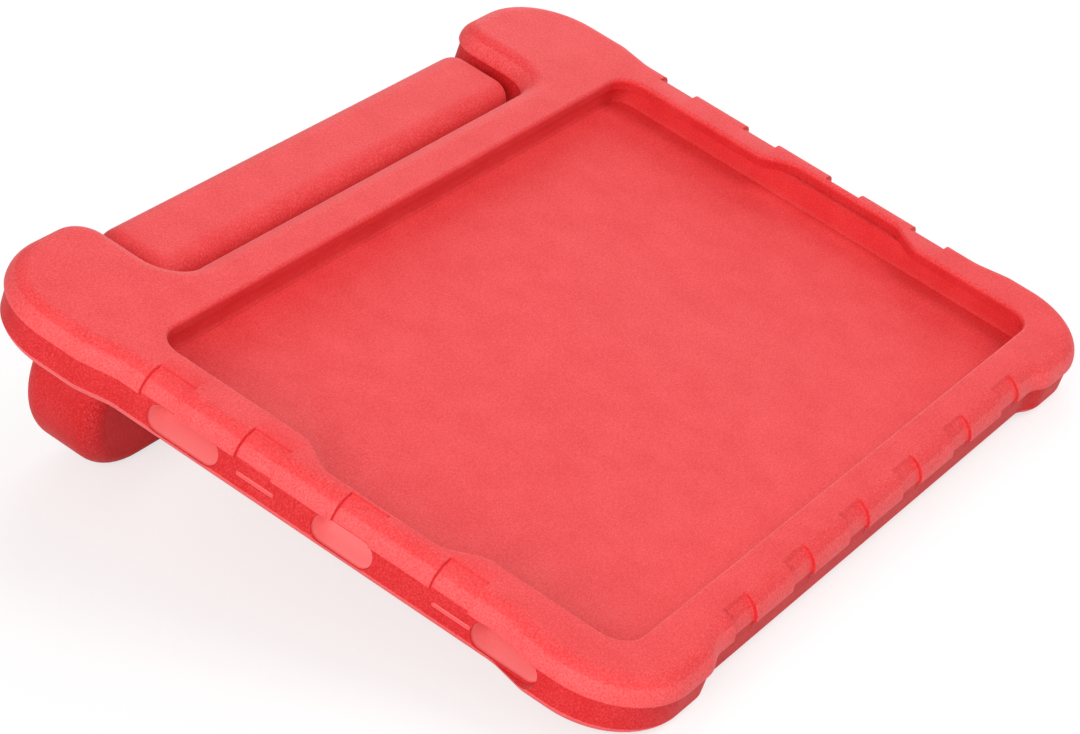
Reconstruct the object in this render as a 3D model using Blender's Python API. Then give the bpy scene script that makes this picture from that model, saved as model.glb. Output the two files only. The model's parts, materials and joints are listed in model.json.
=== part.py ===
"""Foam case for a 10.1 inch tablet, with a fold-down carry handle that is also its stand.

Four pieces: the moulded case body, the handle loop and the two pins it turns on.
They are modelled in the case's own frame (X along the long side, Y towards the handle,
Z out of the front, Z = 0 at the tablet's glass) and hang from one empty, which tilts
them into the resting pose on the ground at Z = 0. Metres throughout.
"""
import math

import bpy
import bmesh
from mathutils import Matrix, Vector

# Tablet that the bay is moulded for, and the bay's clearance round it
TABLET_LENGTH = 0.2452
TABLET_WIDTH = 0.1494
TABLET_THICKNESS = 0.0075
BAY_CLEARANCE = 0.0003
BAY_CORNER_RADIUS = 0.006

# Body walls round the bay
LIP_THICKNESS = 0.0037
FLOOR_THICKNESS = 0.0066
SHORT_SIDE_WALL = 0.0106
LOWER_SIDE_WALL = 0.0119
UPPER_SIDE_WALL = 0.0125
EDGE_RADIUS = 0.0060
BACK_EDGE_RADIUS = 0.0075
RIM_HEIGHT = 0.0064
RIM_OVERHANG = 0.0008

# Window in the front, and how far its lip holds the tablet
LIP_OVERLAP_SHORT_SIDE = 0.0047
LIP_OVERLAP_LONG_SIDE = 0.0020
WINDOW_CORNER_RADIUS = 0.0080
RELIEF_DEPTH = 0.0068
RELIEF_UPPER_Y = 0.0235
RELIEF_LOWER_Y = -0.0315
RELIEF_RAMP = 0.0095
RELIEF_RADIUS = 0.0060

# Ears at the handle corners and bumpers at the lower corners
EAR_REACH_SIDE = 0.0026
EAR_REACH_UP = 0.0325
EAR_RADIUS = 0.0255
EAR_INNER_RADIUS = 0.0100
EAR_ROOT_RADIUS = 0.0100
EAR_END_Y = 0.0820
BUMPER_REACH_SIDE = 0.0027
BUMPER_REACH_DOWN = 0.0027
BUMPER_RADIUS = 0.0245
BUMPER_END_X = 0.0990
BUMPER_END_Y = -0.0570
SIDE_RAMP = 0.0100
LOWER_RAMP = 0.0060
BULGE_RADIUS = 0.0120

# Grip recesses over the front edge
RECESS_LENGTH = 0.0114
RECESS_PITCH_SHORT_SIDE = 0.0302
RECESS_COUNT_SHORT_SIDE = 4
RECESS_TOP_Y = 0.0589
RECESS_PITCH_LOWER_SIDE = 0.0313
RECESS_COUNT_LOWER_SIDE = 6
RECESS_REACH_SHORT_SIDE = 0.0077
RECESS_REACH_LOWER_SIDE = 0.0058
RECESS_FACE_DEPTH = 0.0007
RECESS_RIM_DEPTH = 0.0019
RECESS_BOTTOM_Z = -0.0105

# Port and speaker cut-outs in the left wall, as (centre Y, width), and its slits
CUTOUTS = [(0.0500, 0.0224), (0.0, 0.0185), (-0.0500, 0.0208)]
CUTOUT_TOP_Z = -0.0023
CUTOUT_HEIGHT = 0.0078
CUTOUT_END_RADIUS = 0.0036
SLIT_CENTRES_Y = [0.0271, -0.0334]
SLIT_LENGTH = 0.0118
SLIT_HEIGHT = 0.0014
SLIT_DEPTH = 0.0016
SLIT_Z = -0.0064

# Handle loop: X across, reach measured from the hinge axis away from its outer face
HANDLE_GAP = 0.0038
HINGE_END_GAP = 0.0025
NECK_WIDTH = 0.1760
HANDLE_THICKNESS = 0.0250
HANDLE_EDGE_RADIUS = 0.0065
HANDLE_FACE_Z = -0.0007
HINGE_Z = -0.0080
NECK_CORNER_RADIUS = 0.0070
SHOULDER_GAP = 0.0030
SHOULDER_DROP = 0.0040
SHOULDER_RADIUS = 0.0100
GRIP_WIDTH = 0.2070
GRIP_REACH = 0.0628
GRIP_BAR = 0.0165
GRIP_CORNER_RADIUS = 0.0310
FINGER_GAP_START = 0.0120
FINGER_GAP_TOP_WIDTH = 0.1360
FINGER_GAP_BOTTOM_WIDTH = 0.1560
FINGER_GAP_TOP_RADIUS = 0.0080
FINGER_GAP_BOTTOM_RADIUS = 0.0140

# Hinge pins
PIN_RADIUS = 0.0022
PIN_CLEARANCE = 0.0003
PIN_DEPTH_IN_EAR = 0.0120
PIN_DEPTH_IN_HANDLE = 0.0110

# Depth by which the ground flattens the foam where the case rests
REST_FLAT_DEPTH = 0.0003

# How far a cutter runs past the surface that it opens
CUT_MARGIN = 0.0020

# Fineness of the round stretches
ARC_STEP = math.radians(9.0)
ARC_EDGE_SHARE = 0.98
EDGE_RESOLUTION = 3
EDGE_STEPS = 5
PIN_SIDES = 32

# Derived places in the case's own frame
BAY_HALF_LENGTH = TABLET_LENGTH / 2 + BAY_CLEARANCE
BAY_HALF_WIDTH = TABLET_WIDTH / 2 + BAY_CLEARANCE
BAY_TOP_Z = BAY_CLEARANCE
BAY_FLOOR_Z = -TABLET_THICKNESS
FRONT_Z = BAY_TOP_Z + LIP_THICKNESS
BACK_Z = BAY_FLOOR_Z - FLOOR_THICKNESS
SIDE_X = BAY_HALF_LENGTH + SHORT_SIDE_WALL
LOWER_Y = -BAY_HALF_WIDTH - LOWER_SIDE_WALL
UPPER_Y = BAY_HALF_WIDTH + UPPER_SIDE_WALL
EAR_INNER_X = NECK_WIDTH / 2 + HINGE_END_GAP
EAR_SIDE_X = SIDE_X + EAR_REACH_SIDE
EAR_TOP_Y = UPPER_Y + EAR_REACH_UP
BUMPER_SIDE_X = SIDE_X + BUMPER_REACH_SIDE
BUMPER_LOW_Y = LOWER_Y - BUMPER_REACH_DOWN
HINGE_Y = UPPER_Y + HANDLE_GAP + HANDLE_THICKNESS / 2
SHOULDER_REACH = EAR_TOP_Y - HINGE_Y + SHOULDER_GAP


def rest_tilt():
    """Angle and ground height of the plane that touches the bumpers and the grip bar."""
    bumper = Vector((BUMPER_LOW_Y + BACK_EDGE_RADIUS, BACK_Z + BACK_EDGE_RADIUS))
    grip = Vector((HINGE_Y - HANDLE_THICKNESS / 2 + HANDLE_EDGE_RADIUS,
                   HINGE_Z - GRIP_REACH + HANDLE_EDGE_RADIUS))
    span = grip - bumper
    radius_step = HANDLE_EDGE_RADIUS - BACK_EDGE_RADIUS
    tilt = math.atan2(-span.y, span.x) + math.asin(radius_step / span.length)
    ground = bumper.x * math.sin(tilt) + bumper.y * math.cos(tilt) - BACK_EDGE_RADIUS
    return tilt, ground


def heading(before, after):
    """Angle from one direction to the next, positive to the left."""
    return math.atan2(before.x * after.y - before.y * after.x, before.dot(after))


def rounded_outline(corners):
    """Closed outline through corners (x, y, radius), each corner turned into an arc.

    Arcs that would meet on a short edge are both made smaller, so that they just fit.
    """
    count = len(corners)
    places = [Vector(corner[:2]) for corner in corners]
    edges = [places[(i + 1) % count] - places[i] for i in range(count)]
    turns = [heading(edges[i - 1], edges[i]) for i in range(count)]
    trims = [corners[i][2] * abs(math.tan(turns[i] / 2)) for i in range(count)]
    fits = []
    for i in range(count):
        taken = trims[i] + trims[(i + 1) % count]
        fits.append(min(1.0, ARC_EDGE_SHARE * edges[i].length / taken) if taken > 0 else 1.0)
    points = []
    for i in range(count):
        trim = trims[i] * min(fits[i - 1], fits[i])
        if trim <= 0:
            points.append(places[i])
            continue
        along = edges[i - 1].normalized()
        start = places[i] - along * trim
        radius = trim / math.tan(turns[i] / 2)
        centre = start + Vector((-along.y, along.x)) * radius
        steps = max(2, math.ceil(abs(turns[i]) / ARC_STEP))
        for k in range(steps + 1):
            points.append(centre + Matrix.Rotation(turns[i] * k / steps, 2) @ (start - centre))
    return points


def mirrored(right_half):
    """Right half of an outline, followed by its mirror image in the YZ plane."""
    return right_half + [(-x, y, radius) for x, y, radius in reversed(right_half)]


def slab(name, outlines, low, high, edge_radius=0.0):
    """An outline, and any holes in it, extruded from low to high with rounded edges."""
    curve = bpy.data.curves.new(name, "CURVE")
    curve.dimensions = "2D"
    curve.fill_mode = "BOTH"
    curve.extrude = (high - low) / 2 - edge_radius
    curve.bevel_depth = edge_radius
    curve.bevel_resolution = EDGE_RESOLUTION
    curve.offset = -edge_radius
    for points in outlines:
        spline = curve.splines.new("POLY")
        spline.points.add(len(points) - 1)
        for target, point in zip(spline.points, points):
            target.co = (point.x, point.y, 0.0, 1.0)
        spline.use_cyclic_u = True
    source = bpy.data.objects.new(name + "_curve", curve)
    bpy.context.scene.collection.objects.link(source)
    bpy.context.view_layer.update()
    mesh = bpy.data.meshes.new_from_object(source.evaluated_get(bpy.context.evaluated_depsgraph_get()))
    bpy.data.objects.remove(source)
    bm = bmesh.new()
    bm.from_mesh(mesh)
    bmesh.ops.remove_doubles(bm, verts=bm.verts, dist=0.00002)
    bmesh.ops.translate(bm, verts=bm.verts, vec=(0.0, 0.0, (low + high) / 2))
    bmesh.ops.recalc_face_normals(bm, faces=bm.faces)
    bm.to_mesh(mesh)
    bm.free()
    mesh.name = name
    return bpy.data.objects.new(name, mesh)


def moved_outward(outline, offset):
    """A clockwise outline moved outward, so that its straight runs all move by the offset."""
    moved = []
    for i, point in enumerate(outline):
        before = (point - outline[i - 1]).normalized()
        after = (outline[(i + 1) % len(outline)] - point).normalized()
        outward = Vector((-before.y - after.y, before.x + after.x)) / (1 + before.dot(after))
        moved.append(point + outward * offset)
    return moved


def shell(name, outline, rows):
    """An outline extruded from row to row of (outward offset, height), closed at both ends."""
    bm = bmesh.new()
    face = bm.faces.new([bm.verts.new((*point, 0.0)) for point in outline])
    for k, (offset, height) in enumerate(rows):
        if k > 0:
            made = bmesh.ops.extrude_face_region(bm, geom=[face, *face.edges])["geom"]
            face = next(item for item in made if isinstance(item, bmesh.types.BMFace))
        for vert, point in zip(face.verts, moved_outward(outline, offset)):
            vert.co = (*point, height)
    bmesh.ops.recalc_face_normals(bm, faces=bm.faces)
    mesh = bpy.data.meshes.new(name)
    bm.to_mesh(mesh)
    bm.free()
    return bpy.data.objects.new(name, mesh)


def quarter_rows(offset, height, radius, first, last):
    """Rows on an arc about (offset, height), from one angle to another above the outward way."""
    rows = []
    for k in range(EDGE_STEPS + 1):
        angle = first + (last - first) * k / EDGE_STEPS
        rows.append((offset + radius * math.cos(angle), height + radius * math.sin(angle)))
    return rows


def rod(name, radius, length):
    """Cylinder along X, centred on its own origin."""
    bm = bmesh.new()
    bmesh.ops.create_cone(bm, cap_ends=True, segments=PIN_SIDES, radius1=radius, radius2=radius, depth=length)
    mesh = bpy.data.meshes.new(name)
    bm.to_mesh(mesh)
    bm.free()
    obj = bpy.data.objects.new(name, mesh)
    obj.rotation_euler = (0.0, math.pi / 2, 0.0)
    return obj


def material(name, colour, roughness, metallic=0.0):
    mat = bpy.data.materials.new(name)
    mat.use_nodes = True
    shader = mat.node_tree.nodes["Principled BSDF"]
    shader.inputs["Base Color"].default_value = (*colour, 1.0)
    shader.inputs["Roughness"].default_value = roughness
    shader.inputs["Metallic"].default_value = metallic
    return mat


def add_piece(obj, parts, root, mat):
    obj.data.materials.append(mat)
    parts.objects.link(obj)
    obj.parent = root
    return obj


def add_cutter(obj, cutters, parent):
    obj.display_type = "WIRE"
    obj.hide_render = True
    cutters.objects.link(obj)
    obj.parent = parent
    return obj


def cut(target, cutter):
    """Take one cutter out of the target with an exact Boolean."""
    modifier = target.modifiers.new("cut_" + cutter.name, "BOOLEAN")
    modifier.operation = "DIFFERENCE"
    modifier.solver = "EXACT"
    modifier.object = cutter


def body_corners():
    """Right half of the body's outline, from the ear's root down to the lower side."""
    return [
        (EAR_INNER_X, UPPER_Y, EAR_ROOT_RADIUS),
        (EAR_INNER_X, EAR_TOP_Y, EAR_INNER_RADIUS),
        (EAR_SIDE_X, EAR_TOP_Y, EAR_RADIUS),
        (EAR_SIDE_X, EAR_END_Y, BULGE_RADIUS),
        (SIDE_X, EAR_END_Y - SIDE_RAMP, BULGE_RADIUS),
        (SIDE_X, BUMPER_END_Y + SIDE_RAMP, BULGE_RADIUS),
        (BUMPER_SIDE_X, BUMPER_END_Y, BULGE_RADIUS),
        (BUMPER_SIDE_X, BUMPER_LOW_Y, BUMPER_RADIUS),
        (BUMPER_END_X, BUMPER_LOW_Y, BULGE_RADIUS),
        (BUMPER_END_X - LOWER_RAMP, LOWER_Y, BULGE_RADIUS),
    ]


def body_rows():
    """Section of the body's wall: front edge, underside of the rim, wall and back edge."""
    front = quarter_rows(-EDGE_RADIUS, FRONT_Z - EDGE_RADIUS, EDGE_RADIUS, math.pi / 2, 0.0)
    meeting = -math.acos(1 - RIM_OVERHANG / BACK_EDGE_RADIUS)
    back = quarter_rows(-BACK_EDGE_RADIUS, BACK_Z + BACK_EDGE_RADIUS, BACK_EDGE_RADIUS, meeting, -math.pi / 2)
    return front + [(0.0, FRONT_Z - RIM_HEIGHT), (-RIM_OVERHANG, FRONT_Z - RIM_HEIGHT)] + back


def window_corners():
    """Window outline with a relief in each short side, clockwise from the upper right."""
    half_length = BAY_HALF_LENGTH - LIP_OVERLAP_SHORT_SIDE
    half_width = BAY_HALF_WIDTH - LIP_OVERLAP_LONG_SIDE
    relief_x = half_length + RELIEF_DEPTH
    return mirrored([
        (half_length, half_width, WINDOW_CORNER_RADIUS),
        (half_length, RELIEF_UPPER_Y, RELIEF_RADIUS),
        (relief_x, RELIEF_UPPER_Y - RELIEF_RAMP, RELIEF_RADIUS),
        (relief_x, RELIEF_LOWER_Y + RELIEF_RAMP, RELIEF_RADIUS),
        (half_length, RELIEF_LOWER_Y, RELIEF_RADIUS),
        (half_length, -half_width, WINDOW_CORNER_RADIUS),
    ])


def bay_corners():
    return [(BAY_HALF_LENGTH, BAY_HALF_WIDTH, BAY_CORNER_RADIUS),
            (BAY_HALF_LENGTH, -BAY_HALF_WIDTH, BAY_CORNER_RADIUS),
            (-BAY_HALF_LENGTH, -BAY_HALF_WIDTH, BAY_CORNER_RADIUS),
            (-BAY_HALF_LENGTH, BAY_HALF_WIDTH, BAY_CORNER_RADIUS)]


def recess_corners(reach):
    """Section of a grip recess: X outward from the wall, Y up; deepest at the rim."""
    return [
        (-reach, FRONT_Z + CUT_MARGIN, 0.0),
        (-reach, FRONT_Z - RECESS_FACE_DEPTH, 0.0),
        (-RECESS_RIM_DEPTH, FRONT_Z - RECESS_RIM_DEPTH, EDGE_RADIUS),
        (0.0, RECESS_BOTTOM_Z, 0.0),
        (CUT_MARGIN, RECESS_BOTTOM_Z, 0.0),
        (CUT_MARGIN, FRONT_Z + CUT_MARGIN, 0.0),
    ]


def recess_places():
    """Each recess as (x, y, outward angle, reach onto the front face)."""
    places = []
    for k in range(RECESS_COUNT_SHORT_SIDE):
        y = RECESS_TOP_Y - k * RECESS_PITCH_SHORT_SIDE
        places.append((SIDE_X, y, 0.0, RECESS_REACH_SHORT_SIDE))
        places.append((-SIDE_X, y, math.pi, RECESS_REACH_SHORT_SIDE))
    for k in range(RECESS_COUNT_LOWER_SIDE):
        x = (k - (RECESS_COUNT_LOWER_SIDE - 1) / 2) * RECESS_PITCH_LOWER_SIDE
        places.append((x, LOWER_Y, -math.pi / 2, RECESS_REACH_LOWER_SIDE))
    return places


def wall_cutter(name, centre_y, centre_z, width, height, end_radius, depth):
    """Prism along X into the left wall, from outside it to a depth below its rim."""
    outline = rounded_outline([(width / 2, height / 2, end_radius), (width / 2, -height / 2, end_radius),
                               (-width / 2, -height / 2, end_radius), (-width / 2, height / 2, end_radius)])
    obj = slab(name, [outline], -CUT_MARGIN, depth)
    obj.rotation_euler = (math.pi / 2, 0.0, math.pi / 2)
    obj.location = (-SIDE_X, centre_y, centre_z)
    return obj


def make_body(parts, cutters, root, foam):
    outline = rounded_outline(mirrored(body_corners()))
    body = add_piece(shell("case_body", outline, body_rows()), parts, root, foam)
    bay = slab("bay", [rounded_outline(bay_corners())], BAY_FLOOR_Z, BAY_TOP_Z)
    cut(body, add_cutter(bay, cutters, root))
    window = slab("window", [rounded_outline(window_corners())], BAY_TOP_Z - BAY_CLEARANCE,
                  FRONT_Z + CUT_MARGIN)
    cut(body, add_cutter(window, cutters, root))
    for k, (x, y, angle, reach) in enumerate(recess_places()):
        recess = slab(f"recess_{k}", [rounded_outline(recess_corners(reach))], -RECESS_LENGTH / 2,
                      RECESS_LENGTH / 2)
        recess.location = (x, y, 0.0)
        recess.rotation_euler = (math.pi / 2, 0.0, angle)
        cut(body, add_cutter(recess, cutters, root))
    for k, (centre_y, width) in enumerate(CUTOUTS):
        cutout = wall_cutter(f"cutout_{k}", centre_y, CUTOUT_TOP_Z - CUTOUT_HEIGHT / 2, width,
                             CUTOUT_HEIGHT, CUTOUT_END_RADIUS, SHORT_SIDE_WALL + CUT_MARGIN)
        cut(body, add_cutter(cutout, cutters, root))
    for k, centre_y in enumerate(SLIT_CENTRES_Y):
        slit = wall_cutter(f"slit_{k}", centre_y, SLIT_Z, SLIT_LENGTH, SLIT_HEIGHT, 0.0,
                           RIM_OVERHANG + SLIT_DEPTH)
        cut(body, add_cutter(slit, cutters, root))
    return body


def make_handle(parts, root, foam):
    neck = NECK_WIDTH / 2
    grip = GRIP_WIDTH / 2
    top = HINGE_Z - HANDLE_FACE_Z
    outer = rounded_outline(mirrored([
        (neck, top, NECK_CORNER_RADIUS),
        (neck, SHOULDER_REACH, SHOULDER_RADIUS / 2),
        (grip, SHOULDER_REACH + SHOULDER_DROP, SHOULDER_RADIUS),
        (grip, GRIP_REACH, GRIP_CORNER_RADIUS),
    ]))
    gap_end = GRIP_REACH - GRIP_BAR
    gap = rounded_outline([
        (-FINGER_GAP_TOP_WIDTH / 2, FINGER_GAP_START, FINGER_GAP_TOP_RADIUS),
        (-FINGER_GAP_BOTTOM_WIDTH / 2, gap_end, FINGER_GAP_BOTTOM_RADIUS),
        (FINGER_GAP_BOTTOM_WIDTH / 2, gap_end, FINGER_GAP_BOTTOM_RADIUS),
        (FINGER_GAP_TOP_WIDTH / 2, FINGER_GAP_START, FINGER_GAP_TOP_RADIUS),
    ])
    handle = slab("stand_handle", [outer, gap], -HANDLE_THICKNESS / 2, HANDLE_THICKNESS / 2,
                  HANDLE_EDGE_RADIUS)
    handle.location = (0.0, HINGE_Y, HINGE_Z)
    handle.rotation_euler = (-math.pi / 2, 0.0, 0.0)
    return add_piece(handle, parts, root, foam)


def make_pins(parts, cutters, root, body, handle, plastic):
    """A pin at each end of the hinge bar, with a blind bore for it in ear and handle."""
    for side, sign in (("left", -1), ("right", 1)):
        inner_x = NECK_WIDTH / 2 - PIN_DEPTH_IN_HANDLE
        outer_x = EAR_INNER_X + PIN_DEPTH_IN_EAR
        bore_place = (sign * (inner_x + outer_x) / 2, HINGE_Y, HINGE_Z)
        bore = rod(f"pin_bore_{side}", PIN_RADIUS + PIN_CLEARANCE, outer_x - inner_x + 2 * PIN_CLEARANCE)
        bore.location = bore_place
        add_cutter(bore, cutters, root)
        cut(body, bore)
        cut(handle, bore)
        pin = rod(f"hinge_pin_{side}", PIN_RADIUS, outer_x - inner_x)
        pin.location = bore_place
        add_piece(pin, parts, root, plastic)


def flatten_underside(cutters, pieces):
    """Trim what lies below the ground, so the case rests on small flats."""
    bm = bmesh.new()
    bmesh.ops.create_cube(bm, size=2 * (EAR_SIDE_X + EAR_TOP_Y))
    mesh = bpy.data.meshes.new("ground")
    bm.to_mesh(mesh)
    bm.free()
    ground = bpy.data.objects.new("ground", mesh)
    ground.location = (0.0, 0.0, -(EAR_SIDE_X + EAR_TOP_Y))
    add_cutter(ground, cutters, None)
    for piece in pieces:
        cut(piece, ground)


def main():
    for obj in list(bpy.data.objects):
        bpy.data.objects.remove(obj, do_unlink=True)
    parts = bpy.data.collections.new("kids_tablet_case")
    cutters = bpy.data.collections.new("cutters")
    bpy.context.scene.collection.children.link(parts)
    bpy.context.scene.collection.children.link(cutters)
    foam = material("red_foam", (0.80, 0.050, 0.055), 0.75)
    plastic = material("dark_red_plastic", (0.35, 0.02, 0.02), 0.40)

    tilt, ground = rest_tilt()
    root = bpy.data.objects.new("rest_pose", None)
    root.rotation_euler = (tilt, 0.0, 0.0)
    low_y = BUMPER_LOW_Y + EDGE_RADIUS
    front_edge_z = FRONT_Z - EDGE_RADIUS
    rear = Vector((HINGE_Y + HANDLE_THICKNESS / 2 - HANDLE_EDGE_RADIUS,
                   HINGE_Z - GRIP_REACH + HANDLE_EDGE_RADIUS))
    min_y = low_y * math.cos(tilt) - front_edge_z * math.sin(tilt) - EDGE_RADIUS
    max_y = rear.x * math.cos(tilt) - rear.y * math.sin(tilt) + HANDLE_EDGE_RADIUS
    root.location = (0.0, -(min_y + max_y) / 2, -ground - REST_FLAT_DEPTH)
    parts.objects.link(root)

    body = make_body(parts, cutters, root, foam)
    handle = make_handle(parts, root, foam)
    make_pins(parts, cutters, root, body, handle, plastic)
    flatten_underside(cutters, [body, handle])


main()
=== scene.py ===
"""Looks of a foam tablet case with a fold-back carry handle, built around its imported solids.

Shapes are worked out in the case's own frame (X along the long side, Y towards the handle,
Z out of the front, Z = 0 at the tablet's glass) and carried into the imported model's frame
by the place and slope of the tablet's seat. Metres throughout.
"""

import json
import logging
import math
from dataclasses import dataclass, field
from enum import Enum

import bmesh
import bpy
import numpy as np
from mathutils import Matrix, Vector


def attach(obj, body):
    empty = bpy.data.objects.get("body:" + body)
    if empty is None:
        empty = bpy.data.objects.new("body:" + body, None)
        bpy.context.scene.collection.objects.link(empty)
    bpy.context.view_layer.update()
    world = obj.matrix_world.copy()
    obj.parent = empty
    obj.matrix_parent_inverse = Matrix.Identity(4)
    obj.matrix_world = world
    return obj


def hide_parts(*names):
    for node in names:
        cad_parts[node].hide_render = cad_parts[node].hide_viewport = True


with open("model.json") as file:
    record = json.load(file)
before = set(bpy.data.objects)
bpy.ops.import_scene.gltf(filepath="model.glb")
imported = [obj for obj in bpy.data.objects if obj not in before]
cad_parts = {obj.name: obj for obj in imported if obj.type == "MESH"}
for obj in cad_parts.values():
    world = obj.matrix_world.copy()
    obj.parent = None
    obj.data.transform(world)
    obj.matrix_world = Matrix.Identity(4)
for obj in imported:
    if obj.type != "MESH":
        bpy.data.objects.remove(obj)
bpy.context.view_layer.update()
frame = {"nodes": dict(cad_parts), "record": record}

log = logging.getLogger("tablet_case")

Corner = tuple[float, float, float]
Colour = tuple[float, float, float]

SAME_PLACE = 0.000002
CREASE_DEGREES = 38.0


# Shader maths

class Value:
    """A shader socket that takes part in Python arithmetic."""

    def __init__(self, graph: "Graph", socket: bpy.types.NodeSocket) -> None:
        """Keeps the socket and the graph that its sums are added to."""
        self.graph = graph
        self.socket = socket

    def _maths(self, operation: str, first: object, second: object) -> "Value":
        """Adds one Math node on two numbers or sockets."""
        return self.graph.node("ShaderNodeMath", {"operation": operation}, {0: first, 1: second})

    def __add__(self, other: object) -> "Value":
        """Sum."""
        return self._maths("ADD", self, other)

    def __radd__(self, other: object) -> "Value":
        """Sum with a number first."""
        return self._maths("ADD", other, self)

    def __sub__(self, other: object) -> "Value":
        """Difference."""
        return self._maths("SUBTRACT", self, other)

    def __rsub__(self, other: object) -> "Value":
        """Difference from a number."""
        return self._maths("SUBTRACT", other, self)

    def __mul__(self, other: object) -> "Value":
        """Product."""
        return self._maths("MULTIPLY", self, other)

    def __rmul__(self, other: object) -> "Value":
        """Product with a number first."""
        return self._maths("MULTIPLY", other, self)


class Graph:
    """Node tree of one material or world, emptied and built up again."""

    def __init__(self, tree: bpy.types.NodeTree) -> None:
        """Empties the tree."""
        self.tree = tree
        tree.nodes.clear()

    def node(self, kind: str, settings: dict[str, object], inputs: dict[object, object],
             output: object = 0) -> Value:
        """Adds one node.

        Args:
            kind: The node's type name.
            settings: Properties to set first.
            inputs: Numbers, colours or Values by socket name or number.
            output: Name or number of the socket to hand back.

        Returns:
            The chosen output, ready for arithmetic.
        """
        made = self.tree.nodes.new(kind)
        for name, value in settings.items():
            setattr(made, name, value)
        for name, value in inputs.items():
            if isinstance(value, Value):
                self.tree.links.new(value.socket, made.inputs[name])
            else:
                made.inputs[name].default_value = value
        return Value(self, made.outputs[output] if made.outputs else made.inputs[0])

    def blend(self, factor: object, first: object, second: object) -> Value:
        """Mixes two colours by a factor."""
        return self.node("ShaderNodeMix", {"data_type": "RGBA"}, {0: factor, 6: first, 7: second}, 2)

    def noise(self, size: float, detail: float, roughness: float = 0.5) -> Value:
        """Noise on the object's own coordinates.

        Args:
            size: Width of its features in metres.
            detail: Number of finer octaves.
            roughness: Strength of each finer octave.

        Returns:
            The noise, from 0 to 1 about a middle of 0.5.
        """
        place = self.node("ShaderNodeTexCoord", {}, {}, "Object")
        return self.node("ShaderNodeTexNoise", {"noise_dimensions": "3D"},
                         {"Vector": place, "Scale": 1.0 / size, "Detail": detail, "Roughness": roughness})

    def pebbles(self, size: float) -> Value:
        """Distance to the nearest cell centre: rounded bumps of the given width."""
        place = self.node("ShaderNodeTexCoord", {}, {}, "Object")
        return self.node("ShaderNodeTexVoronoi", {"feature": "SMOOTH_F1"},
                         {"Vector": place, "Scale": 1.0 / size, "Smoothness": 0.6})

    def limit(self, value: object, low: float, high: float) -> Value:
        """Spreads the stretch from low to high over 0 to 1 and holds it there."""
        return self.node("ShaderNodeMapRange", {"clamp": True},
                         {"Value": value, "From Min": low, "From Max": high})


@dataclass(frozen=True)
class FoamFinish:
    """Matt closed-cell foam with a fine moulded grain, with a painted highlight on its round edges, painted
    shade on its walls and painted light on its cut faces.
    """

    name: str = "red_foam"
    body: Colour = (0.88, 0.048, 0.052)
    deep: Colour = (0.74, 0.022, 0.027)
    pale: Colour = (0.98, 0.105, 0.108)
    # painted highlight: the paler red that round edges are lightened towards
    edge: Colour = (1.00, 0.200, 0.200)
    # painted shade: the deeper red that walls, hollows, recess steps and the handle loop are darkened
    # towards
    wall: Colour = (0.60, 0.004, 0.007)
    # painted light: the paler red of the cut faces, standing in for light on the cut-outs' floors
    cut: Colour = (1.00, 0.260, 0.260)
    grain: float = 0.00075
    mottle: float = 0.011
    grain_depth: float = 0.00016

    def make(self) -> bpy.types.Material:
        """Builds the material.

        Returns:
            A material whose colour, roughness and bump follow the grain and the edges; its colour also holds
            the painted highlight, painted shade and painted light read from the tone attribute.
        """
        made = bpy.data.materials.new(self.name)
        made.use_nodes = True
        g = Graph(made.node_tree)
        cells = g.pebbles(self.grain)
        speckle = g.noise(self.grain * 0.7, 2.0, 0.6)
        mottle = g.noise(self.mottle, 3.0)
        # tone holds the painted highlight, painted shade and painted light masks
        tone = g.node("ShaderNodeAttribute", {"attribute_name": "tone"}, {}, "Vector")
        edge_highlight, wall, cut = (g.node("ShaderNodeSeparateXYZ", {}, {0: tone}, k) for k in range(3))
        light = g.limit(speckle * 0.75 + mottle * 0.25, 0.36, 0.66)
        colour = g.blend(light, (*self.deep, 1.0), (*self.pale, 1.0))
        colour = g.blend(0.40, colour, (*self.body, 1.0))
        # painted shade: walls and steps darkened towards the wall colour
        wall_shade = g.limit(wall + (speckle - 0.5) * 0.5, 0.1, 0.9)
        colour = g.blend(wall_shade * (0.98 - 0.50 * light), colour, (*self.wall, 1.0))
        # painted highlight: round edges lightened towards the edge colour; the same mask also lowers the
        # roughness there
        edge_shine = g.limit(edge_highlight + (speckle - 0.5) * 0.9, 0.3, 1.1)
        colour = g.blend(edge_shine * 0.6, colour, (*self.edge, 1.0))
        # painted light: cut faces lightened to the cut colour
        colour = g.blend(cut, colour, (*self.cut, 1.0))
        height = (1 - cells) * 0.6 + speckle * 0.4
        bump = g.node("ShaderNodeBump", {}, {
            "Strength": 0.55, "Distance": self.grain_depth, "Height": height})
        shader = g.node("ShaderNodeBsdfPrincipled", {}, {
            "Base Color": colour, "Normal": bump,
            "Roughness": 0.66 - 0.12 * edge_shine + 0.12 * (speckle - 0.5),
            "Specular IOR Level": 0.35, "Sheen Weight": 0.16, "Sheen Roughness": 0.28,
            "Sheen Tint": (1.0, 0.80, 0.79, 1.0)})
        g.node("ShaderNodeOutputMaterial", {}, {"Surface": shader})
        return made


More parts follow.
